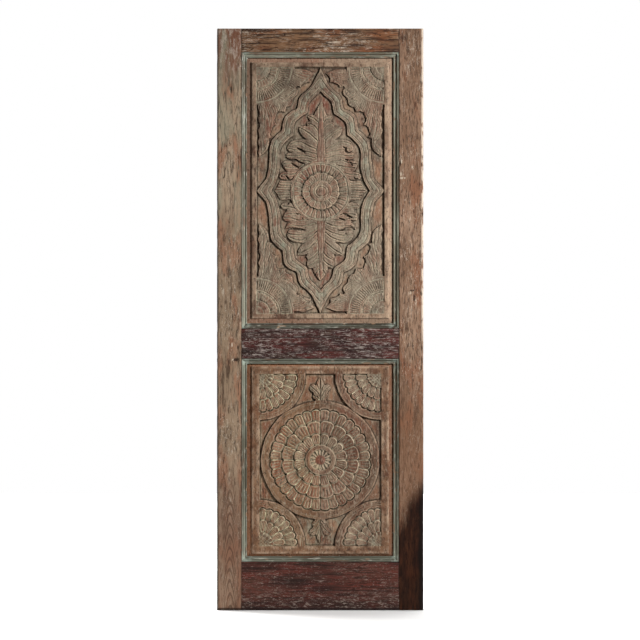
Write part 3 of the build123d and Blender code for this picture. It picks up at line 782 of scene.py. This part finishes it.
class Tree:
    """A material's node tree with short makers for its nodes, and the colour laid on so far."""

    def __init__(self, name):
        self.mat = bpy.data.materials.new(name)
        self.mat.use_nodes = True
        self.tree = self.mat.node_tree
        self.place = self.tree.nodes.new("ShaderNodeTexCoord").outputs["Object"]
        self.x, self.y, self.z = self.node("ShaderNodeSeparateXYZ", {0: self.place}).outputs
        self.colour = None

    def fill(self, node, inputs):
        """Links what is a socket and sets what is a plain value."""
        for key, value in inputs.items():
            if isinstance(value, bpy.types.NodeSocket):
                self.tree.links.new(value, node.inputs[key])
            else:
                node.inputs[key].default_value = value

    def node(self, kind, inputs, **settings):
        node = self.tree.nodes.new(kind)
        for key, value in settings.items():
            setattr(node, key, value)
        self.fill(node, inputs)
        return node

    def noise(self, scale, shift=0.0, detail=3.0, rough=0.55, warp=0.0):
        start = (shift, shift * 0.7, shift * 1.3)
        place = self.node("ShaderNodeMapping", {"Vector": self.place, "Scale": scale, "Location": start})
        return self.node("ShaderNodeTexNoise", {
            "Vector": place.outputs[0], "Scale": 1.0, "Detail": detail, "Roughness": rough,
            "Distortion": warp}).outputs[0]

    def step(self, value, lo, hi, top=1.0):
        """A soft step from zero at lo to top at hi."""
        return self.node("ShaderNodeMapRange", {
            "Value": value, "From Min": lo, "From Max": hi, "To Min": 0.0, "To Max": top},
            interpolation_type="SMOOTHSTEP").outputs[0]

    def patches(self, scale, shift, lo, hi, top=1.0, *kind):
        """The same step on a noise of its own."""
        return self.step(self.noise(scale, shift, *kind), lo, hi, top)

    def math(self, kind, a, b=0.0):
        return self.node("ShaderNodeMath", {0: a, 1: b}, operation=kind).outputs[0]

    def times(self, a, b):
        return self.math("MULTIPLY", a, b)

    def plus(self, a, b):
        return self.math("ADD", a, b)

    def apart(self, a, b):
        return self.math("ABSOLUTE", self.math("SUBTRACT", a, b))

    def mix(self, amount, a, b, blend="MIX"):
        inputs = {0: amount, 6: a, 7: b}
        return self.node("ShaderNodeMix", inputs, data_type="RGBA", blend_type=blend).outputs[2]

    def mark(self, name):
        return self.node("ShaderNodeAttribute", {}, attribute_name=name).outputs["Fac"]

    def on(self, name, amount):
        return self.times(self.mark(name), amount)

    def coat(self, amount, colour, blend="MIX"):
        """Lays a colour over what is there, by this amount."""
        self.colour = self.mix(amount, self.colour, colour, blend)

    def finish(self, rough, height, deep):
        bump = self.node("ShaderNodeBump", {"Strength": BUMP_STRENGTH, "Distance": deep, "Height": height})
        self.fill(self.tree.nodes["Principled BSDF"], {
            "Base Color": self.colour, "Roughness": rough, "Specular IOR Level": SHEEN,
            "Normal": bump.outputs[0]})
        return self.mat


def scale_along(axis):
    """A maker of noise scales for grain that runs along one axis."""
    def scale(across, length):
        return (across, across, length) if axis == "z" else (length, across, across)
    return scale


def panel_wood(name, shift, dark, light, red, border, bevel, lime):
    """Dry carved wood: broad browns, limewash, dirt and painted shade in the cuts, pale flecks and dark
    pores.
    """
    t = Tree(name)
    broad = t.noise((9, 9, 3.5), shift)
    grain = t.noise((150, 150, 16), shift + 3, 5, 0.65, 0.5)
    t.colour = t.mix(t.step(broad, 0.36, 0.66), dark, light)
    t.coat(t.patches((13, 13, 8), shift + 11, 0.48, 0.62, 0.7, 4, 0.6), red)
    t.coat(t.on("petal", t.patches((30, 30, 22), shift + 14, 0.40, 0.58, 0.8, 4)), red)
    sunk = t.on("ground", t.patches((16, 16, 10), shift + 8, 0.36, 0.58, 0.7))
    t.coat(t.times(sunk, t.mark("pocket")), rgb(146, 106, 80))
    t.coat(t.on("stain", t.patches((22, 22, 14), shift + 2, 0.34, 0.52, 0.85)), rgb(114, 60, 46))
    green = t.on("green", t.patches((30, 30, 16), shift + 21, 0.42, 0.64, 0.75, 6, 0.75))
    t.coat(green, rgb(134, 136, 118))
    t.coat(t.step(grain, 0.48, 0.68, 0.6), rgb(62, 45, 36))
    dust = t.patches((90, 90, 30), shift + 5, 0.53, 0.68, 0.5, 5, 0.7)
    t.coat(dust, rgb(166, 150, 130))
    worn = t.mix(t.patches((34, 34, 30), shift + 19, 0.40, 0.60, 1.0, 5, 0.7), *border)
    t.coat(t.on("plain", 0.7), worn)
    t.coat(t.on("bevel", 0.7), bevel)
    rub = t.noise((34, 34, 24), shift + 31, 6, 0.75)
    # dirt and painted shade in the hollows, in patches that leave room for the limewash
    t.coat(t.on("cavity", t.step(rub, 0.66, 0.44, 0.88)), rgb(44, 31, 24))
    limed = t.math("MAXIMUM", t.on("cavity", 0.5), t.mark("lime"))
    t.coat(t.times(limed, t.step(rub, 0.32, 0.54, 0.95)), lime)
    # painted shade in the slots and at the scales' roots, and a darker tone where the mask is set
    # elsewhere
    t.coat(t.on("slot", 0.35), rgb(66, 50, 40))
    # paler on the raised edges: wear, with painted highlight
    t.coat(t.on("ridge", t.patches((30, 30, 20), shift + 41, 0.38, 0.60, 0.6, 4)), rgb(172, 148, 124))
    # dirt and painted shade at the foot of the walls
    t.coat(t.on("grime", 0.8), rgb(32, 21, 15))
    pale = t.patches((150, 150, 70), shift + 53, 0.54, 0.70, 0.45, 4, 0.7)
    t.coat(pale, rgb(176, 162, 142))
    pores = t.patches((170, 170, 80), shift + 51, 0.51, 0.67, 0.75, 4, 0.7)
    t.coat(pores, rgb(46, 33, 26))
    fine = t.noise((420, 420, 50), shift + 61, 4)
    rough = t.plus(t.step(broad, 0.2, 0.9, 0.25), 0.65)
    return t.finish(rough, t.plus(grain, t.times(fine, 0.5)), PANEL_BUMP)


def frame_wood(name, along, shift, dark, light, red, fleck, flecks, cover=(0.38, 0.62)):
    """Weathered timber with its grain along one axis.

    fleck is the colour of the pale flecks, flecks their share, and cover the noise levels between which
    they come in.
    """
    t = Tree(name)
    run = scale_along(along)
    broad = t.noise(run(8, 3), shift, 4)
    grain = t.noise(run(75, 9), shift + 3, 6, 0.7, 0.7)
    fine = t.noise(run(210, 30), shift + 5, 4, 0.7)
    t.colour = t.mix(t.step(broad, 0.36, 0.64), dark, light)
    t.coat(t.patches(run(22, 6), shift + 7, 0.47, 0.62, 0.8, 5, 0.6), red)
    shadow = t.mix(broad, rgb(44, 30, 23), rgb(78, 57, 45))
    t.coat(t.step(grain, 0.50, 0.66, 0.7), shadow)
    patch = t.patches(run(14, 7), shift + 17, *cover, 1.0, 5, 0.65)
    edge = 0.72 - 0.4 * flecks
    pale = t.patches(run(150, 30), shift + 9, edge - 0.06, edge + 0.08, 0.9, 6, 0.75, 0.8)
    t.coat(t.times(pale, patch), fleck)
    t.coat(t.step(fine, 0.49, 0.64, 0.75), rgb(46, 32, 25))
    chalk = t.patches(run(300, 110), shift + 13, 0.57, 0.68, 0.75, 3, 0.7)
    t.coat(t.times(chalk, patch), fleck)
    split = t.apart(t.noise(run(46, 4), shift + 23, 3, 0.5, 0.4), 0.5)
    split = t.times(t.step(split, 0.016, 0.004, 0.8), t.step(broad, 0.42, 0.58))
    t.coat(split, rgb(34, 23, 18))
    spots = t.noise((160, 160, 120), shift + 31, 3)
    t.coat(t.on("chip", t.step(spots, 0.40, 0.54, 0.75)), rgb(188, 174, 154))
    t.coat(t.on("hollow", t.step(spots, 0.66, 0.46, 0.9)), rgb(38, 27, 22))
    joint = t.apart(t.math("ABSOLUTE", t.x), SHOULDER)
    joint = t.times(t.step(joint, 0.005, 0.001, 0.75), t.patches((60, 60, 40), shift + 27, 0.34, 0.54))
    t.coat(joint, rgb(40, 28, 22))
    height = t.plus(t.times(grain, -1.0), t.times(fine, -0.6))
    return t, t.plus(t.step(broad, 0.1, 0.9, 0.25), 0.65), height


def left_stile():
    """Greenish above, red-brown at the top and foot, arched grain low down, painted shade along the outer
    edge and the bottom edge.
    """
    t, rough, height = frame_wood("left_stile", "z", 1.0, rgb(132, 111, 90), rgb(162, 140, 117),
                                          rgb(142, 100, 76), rgb(190, 180, 162), 0.30)
    green = t.times(t.step(t.z, 1.1, 1.5), t.patches((20, 20, 6), 77.0, 0.44, 0.62, 0.5, 4))
    t.coat(green, rgb(138, 134, 114))
    high = t.step(t.z, 1.90, 2.04)
    streaks = t.times(high, t.patches((60, 60, 10), 81.0, 0.40, 0.58, 0.8, 5, 0.7))
    t.coat(streaks, rgb(106, 66, 50))
    pale = t.times(high, t.patches((90, 90, 34), 86.0, 0.48, 0.64, 0.6, 5, 0.75))
    t.coat(pale, rgb(178, 164, 150))
    t.coat(t.step(t.z, 0.62, 0.30, 0.58), rgb(98, 70, 56))
    bow = t.times(t.math("POWER", t.plus(t.x, 0.332), 2.0), 210.0)
    wave = t.times(t.noise((22, 22, 6), 4.0), 0.06)
    ring = t.math("SINE", t.times(t.plus(t.plus(t.z, bow), wave), 150.0))
    arch = t.times(t.step(t.z, 0.52, 0.40), t.step(bow, 0.17, 0.06))
    t.coat(t.times(t.step(ring, 0.2, 0.9, 0.6), arch), rgb(66, 44, 34))
    # painted shade on the rounded outer arris, which faces away from the light
    arris = t.times(t.step(t.x, -0.3710, -0.3775, 0.9), t.step(t.y, -0.008, -0.017))
    t.coat(arris, rgb(46, 33, 27))
    # painted shade along the bottom edge
    t.coat(t.step(t.z, 0.011, 0.006, 0.85), rgb(34, 24, 19))
    return t.finish(rough, height, FRAME_BUMP)


def right_stile():
    """Browner, with pale chipped spots and painted highlight up its lit outer edge, and painted shadow
    over its foot that goes black at the outer corner.
    """
    t, rough, height = frame_wood("right_stile", "z", 23.0, rgb(110, 83, 64), rgb(142, 114, 93),
                                          rgb(122, 81, 59), rgb(184, 168, 150), 0.33)
    t.coat(t.step(t.z, 0.95, 0.55, 0.4), rgb(114, 80, 58))
    # pale chipped spots with painted highlight along the lit outer arris, above the painted shadow
    chips_and_highlight = t.times(t.step(t.x, 0.369, 0.376), t.patches((70, 70, 30), 9.0, 0.38, 0.50, 0.9))
    chips_and_highlight = t.times(chips_and_highlight, t.step(t.y, -0.012, -0.019))
    t.coat(t.times(chips_and_highlight, t.step(t.z, 0.9, 1.1)), rgb(196, 180, 162))
    # painted shadow over the foot, deepest towards the bottom and the outer edge, with streaks in it
    drift = t.plus(t.z, t.times(t.noise((20, 20, 6), 5.0, 5), 0.20))
    painted_shadow = t.step(t.math("SUBTRACT", drift, t.times(t.x, 1.6)), 0.05, -0.10)
    streaks = t.patches((70, 70, 12), 12.0, 0.40, 0.62, 1.0, 4, 0.65)
    t.coat(painted_shadow, t.mix(streaks, rgb(80, 60, 46), rgb(118, 88, 66)), "MULTIPLY")
    # the painted shadow goes black at the outer corner
    corner = t.plus(t.x, t.times(t.noise((30, 30, 12), 6.0, 4), 0.04))
    t.coat(t.times(painted_shadow, t.step(corner, 0.366, 0.396, 0.9)), rgb(14, 9, 7))
    return t.finish(rough, height, FRAME_BUMP)


def rail(name, shift, dark, light, red, fleck, flecks, cover, low=None):
    """A rail with dark lines along it; low is the colour of a foot that is soiled and scratched."""
    # dark for the lines along the rail, and for the painted shade along the bottom edge
    dark_lines_and_shade = rgb(30, 20, 17)
    t, rough, height = frame_wood(name, "x", shift, dark, light, red, fleck, flecks, cover)
    t.coat(t.patches((6, 150, 150), shift + 41, 0.50, 0.62, 0.75, 4, 0.6), dark_lines_and_shade)
    if low:
        foot = t.plus(t.z, t.times(t.noise((14, 14, 26), shift + 44, 4), 0.08))
        t.coat(t.step(foot, 0.12, 0.04, 0.6), low)
        scratch = t.patches((60, 60, 190), shift + 46, 0.52, 0.64, 0.7, 5, 0.8)
        t.coat(t.times(scratch, t.step(foot, 0.13, 0.07)), fleck)
        # painted shade along the bottom edge
        t.coat(t.step(t.z, 0.011, 0.006, 0.85), dark_lines_and_shade)
    return t.finish(rough, height, FRAME_BUMP)


def moulding_wood(name, along, shift, dark, light, brown):
    """Worn grey-green paint over brown wood, with dirt and painted shade dark in the quirks, and paler at
    the mitres.
    """
    t = Tree(name)
    run = scale_along(along)
    broad = t.noise(run(14, 4), shift)
    grain = t.noise(run(320, 9), shift + 4, 4, 0.6)
    t.colour = t.mix(t.step(broad, 0.36, 0.62), dark, light)
    bare = t.patches(run(70, 7), shift + 8, 0.53, 0.66, 0.85, 4, 0.65)
    t.coat(bare, brown)
    t.coat(t.step(t.mark("worn"), 0.5, 1.2, 0.8), rgb(150, 120, 96))
    t.coat(t.step(grain, 0.52, 0.70, 0.5), rgb(66, 58, 50))
    across = t.mark("across")
    # dirt and painted shade in the quirks and where the strip meets the frame and the panel
    for quirk in (0.0, 0.37, 0.75, 1.0):
        t.coat(t.step(t.apart(across, quirk), 0.075, 0.01, 0.75), rgb(44, 34, 27))
    pale = t.patches(run(200, 30), shift + 12, 0.58, 0.70, 0.65, 3)
    t.coat(pale, rgb(180, 178, 164))
    t.coat(t.on("mitre", t.patches((60, 60, 60), shift + 15, 0.40, 0.60, 0.6, 4)), rgb(150, 162, 150))
    return t.finish(t.step(broad, 0.1, 0.95, 0.8), grain, MOULDING_BUMP)


LOWER_BORDER = (rgb(84, 57, 41), rgb(120, 89, 66))
panel_mats = {
    "upper_panel_left": panel_wood(
        "upper_left", 2.0, dark=rgb(90, 73, 61), light=rgb(124, 108, 92), red=rgb(118, 74, 58),
        border=(rgb(68, 49, 38), rgb(112, 87, 69)), bevel=rgb(150, 116, 95), lime=rgb(192, 186, 158)),
    "upper_panel_right": panel_wood(
        "upper_right", 15.0, dark=rgb(98, 82, 69), light=rgb(132, 117, 100), red=rgb(120, 82, 66),
        border=(rgb(98, 74, 58), rgb(140, 114, 92)), bevel=rgb(156, 130, 108), lime=rgb(188, 180, 154)),
    "lower_panel_left": panel_wood(
        "lower_left", 27.0, dark=rgb(96, 68, 48), light=rgb(123, 93, 69), red=rgb(122, 73, 51),
        border=LOWER_BORDER, bevel=rgb(140, 95, 68), lime=rgb(206, 198, 164)),
    "lower_panel_right": panel_wood(
        "lower_right", 39.0, dark=rgb(84, 61, 47), light=rgb(112, 87, 69), red=rgb(102, 63, 48),
        border=LOWER_BORDER, bevel=rgb(118, 82, 60), lime=rgb(188, 178, 152)),
}
for obj in boards:
    obj.data.materials.append(panel_mats[obj.name.replace("_board_carved", "")])

# paint of the mouldings: dark, light and bare brown; then painted light and shade, how much lighter or
# darker each strip is drawn by the way the light falls on it
PAINT = {
    "upper": ((104, 100, 86), (134, 134, 118), (106, 80, 64)),
    "lower": ((90, 88, 76), (118, 120, 106), (106, 80, 64)),
}
STRIP_LIGHT_AND_SHADE = {
    "upper": dict(left=1.0, right=1.2, top=1.05, bottom=0.62),
    "lower": dict(left=1.0, right=1.2, top=0.92, bottom=0.88),
}
for (panel, name), obj in strips.items():
    along = "z" if name in ("left", "right") else "x"
    colours = [rgb(*(STRIP_LIGHT_AND_SHADE[panel][name] * c for c in colour)) for colour in PAINT[panel]]
    shift = 50.0 + 7 * len(obj.name)
    obj.data.materials.append(moulding_wood(f"{panel}_moulding_{name}", along, shift, *colours))

frame_mats = {
    "left_stile": left_stile(),
    "right_stile": right_stile(),
    "top_rail": rail(
        "top_rail", 61.0, dark=rgb(78, 53, 39), light=rgb(124, 92, 67), red=rgb(122, 74, 47),
        fleck=rgb(192, 178, 160), flecks=0.42, cover=(0.36, 0.60)),
    "lock_rail": rail(
        "lock_rail", 73.0, dark=rgb(38, 20, 20), light=rgb(62, 36, 33), red=rgb(78, 33, 29),
        fleck=rgb(156, 144, 136), flecks=0.43, cover=(0.31, 0.52)),
    "bottom_rail": rail(
        "bottom_rail", 85.0, dark=rgb(46, 23, 20), light=rgb(82, 46, 38), red=rgb(88, 40, 32),
        fleck=rgb(142, 126, 116), flecks=0.28, cover=(0.34, 0.58), low=rgb(36, 24, 22)),
}
for name, obj in members.items():
    obj.data.materials.append(frame_mats[name])

# the CAD parts take the look of the pieces that stand for them
looks = dict(frame_mats, tenon_wedges=frame_mats["left_stile"])
looks.update({f"{name}_board": mat for name, mat in panel_mats.items()})
looks.update({f"{panel}_moulding_{name}": obj.data.materials[0] for (panel, name), obj in strips.items()})
for name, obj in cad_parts.items():
    for i in range(len(obj.data.materials)):
        obj.data.materials[i] = looks[name]
    if not obj.data.materials:
        obj.data.materials.append(looks[name])


# Light, floor and camera
WHITE = (1, 1, 1, 1)
FLOOR_PAINT, FLOOR_ROUGH = (0.9, 0.9, 0.89, 1), 0.9
FLOOR_HALF, FLOOR_NEAR, FLOOR_FAR, FLOOR_Z = 2.6, -0.7, 4.0, -0.001
SENSOR, DISTANCE, VIEW_WIDE = 36.0, 6.0, 2.3546

scene = bpy.context.scene
scene.view_settings.view_transform = "Standard"

# white all round for the eye; as light, strong from behind the door and faint from the front
world = bpy.data.worlds.new("studio")
world.use_nodes = True
wt = world.node_tree
facing = wt.nodes.new("ShaderNodeSeparateXYZ")
wt.links.new(wt.nodes.new("ShaderNodeTexCoord").outputs["Generated"], facing.inputs[0])
ramp = wt.nodes.new("ShaderNodeMapRange")
wt.links.new(facing.outputs["Y"], ramp.inputs["Value"])
for key, number in (("From Min", 0.35), ("From Max", 0.95), ("To Min", 0.085), ("To Max", 1.0)):
    ramp.inputs[key].default_value = number
seen = wt.nodes.new("ShaderNodeMath")
seen.operation = "MAXIMUM"
wt.links.new(ramp.outputs[0], seen.inputs[0])
wt.links.new(wt.nodes.new("ShaderNodeLightPath").outputs["Is Camera Ray"], seen.inputs[1])
wt.links.new(seen.outputs[0], wt.nodes["Background"].inputs["Strength"])
wt.nodes["Background"].inputs["Color"].default_value = WHITE
scene.world = world


def area(name, where, aim, size, power, spread):
    data = bpy.data.lights.new(name, "AREA")
    data.shape = "RECTANGLE"
    data.size, data.size_y = size
    data.energy = power
    data.spread = math.radians(spread)
    obj = bpy.data.objects.new(name, data)
    obj.location = where
    obj.rotation_euler = (Vector(aim) - Vector(where)).to_track_quat("-Z", "Y").to_euler()
    scene.collection.objects.link(obj)
    return obj


key = area("key", (3.4, -3.0, 3.0), aim=(0, 0, 1.1), size=(0.32, 0.32), power=60, spread=70)
back = area("back", (0, 3.7, 5.0), aim=(0, 3.7, 0), size=(10.0, 7.0), power=380, spread=60)
side_light = area("side", (-4.5, 1.6, 2.2), aim=(-0.38, 0, 1.0), size=(1.6, 1.6), power=60, spread=60)

floor_mesh = bpy.data.meshes.new("floor")
corners = [(-FLOOR_HALF, FLOOR_NEAR), (FLOOR_HALF, FLOOR_NEAR),
           (FLOOR_HALF, FLOOR_FAR), (-FLOOR_HALF, FLOOR_FAR)]
floor_mesh.from_pydata([(x, y, FLOOR_Z) for x, y in corners], [], [(0, 1, 2, 3)])
floor = add_object(floor_mesh)
paint = bpy.data.materials.new("pale_floor")
paint.use_nodes = True
paint_inputs = paint.node_tree.nodes["Principled BSDF"].inputs
paint_inputs["Base Color"].default_value = FLOOR_PAINT
paint_inputs["Roughness"].default_value = FLOOR_ROUGH
floor.data.materials.append(paint)

cam_data = bpy.data.cameras.new("camera")
cam_data.sensor_width = SENSOR
cam_data.lens = SENSOR * DISTANCE / VIEW_WIDE
cam = bpy.data.objects.new("camera", cam_data)
cam.location = (-0.0007, -FACE - DISTANCE, 1.0676)
cam.rotation_euler = (math.pi / 2, 0, 0)
scene.collection.objects.link(cam)
scene.camera = cam
